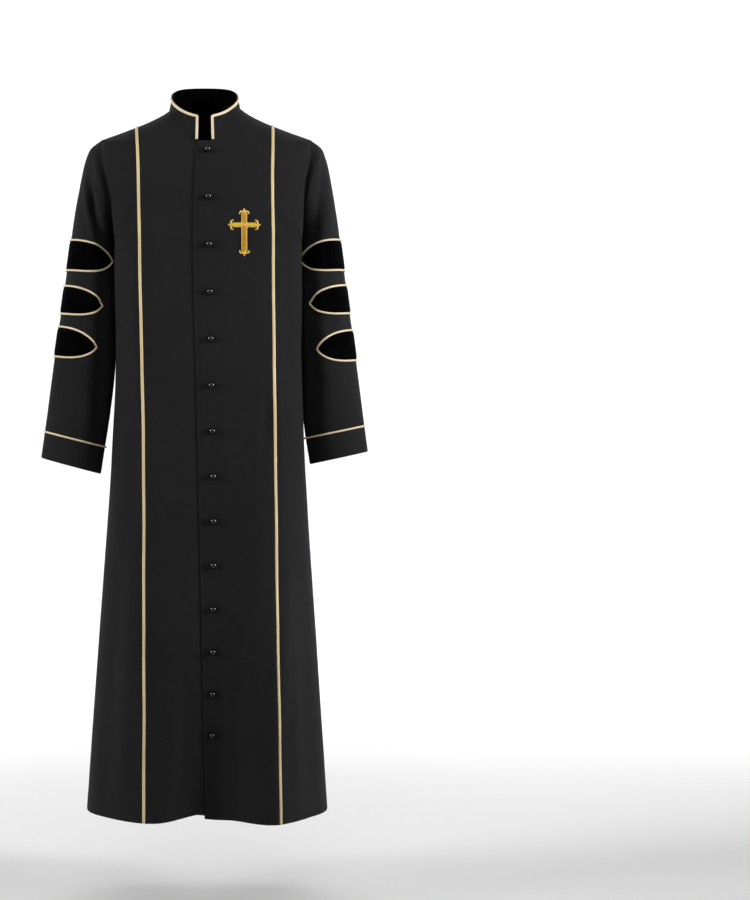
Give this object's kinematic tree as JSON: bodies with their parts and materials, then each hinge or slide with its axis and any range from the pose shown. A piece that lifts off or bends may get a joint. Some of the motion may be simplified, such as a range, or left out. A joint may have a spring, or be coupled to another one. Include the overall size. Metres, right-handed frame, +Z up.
{
  "type": "clergy robe",
  "caption": "Full-length black clergy robe with a standing collar, gold piping, velvet sleeve bars, ball buttons and an embroidered cross, filled out with no wearer.",
  "frame": {"origin": "middle of the neck opening, level with the two points where the shoulder seams reach the collar", "axes": "+Z up along the robe; the front with the buttons faces -Y; +X is the wearer's left"},
  "size_m": [0.636, 0.3919, 1.4183],
  "materials": {
    "cloth": "matt black suiting with a fine twill",
    "velvet": "black velvet with a short dense pile",
    "gold_piping": "gold satin-covered piping with a soft shine",
    "pale_piping": "pale gold satin-covered piping with a soft shine",
    "button": "glossy black ball",
    "gold_thread": "gold rayon satin stitch, raised and shiny"
  },
  "bodies": {
    "root": {"front_side_right": "cloth", "front_side_left": "cloth", "front_center_left": "cloth", "front_center_right": "cloth", "back": "cloth", "front_piping_right": "gold_piping", "front_piping_left": "gold_piping", "sleeve_right": "cloth", "cuff_right": "cloth", "cuff_piping_right": "pale_piping", "bar_right_1": "velvet", "bar_piping_right_1": "pale_piping", "bar_right_2": "velvet", "bar_piping_right_2": "pale_piping", "bar_right_3": "velvet", "bar_piping_right_3": "pale_piping", "sleeve_left": "cloth", "cuff_left": "cloth", "cuff_piping_left": "pale_piping", "bar_left_1": "velvet", "bar_piping_left_1": "pale_piping", "bar_left_2": "velvet", "bar_piping_left_2": "pale_piping", "bar_left_3": "velvet", "bar_piping_left_3": "pale_piping", "collar": "cloth", "collar_piping": "pale_piping", "button_01": "button", "button_02": "button", "button_03": "button", "button_04": "button", "button_05": "button", "button_06": "button", "button_07": "button", "button_08": "button", "button_09": "button", "button_10": "button", "button_11": "button", "button_12": "button", "button_13": "button", "button_14": "button", "cross": "gold_thread"}
  },
  "joints": []
}
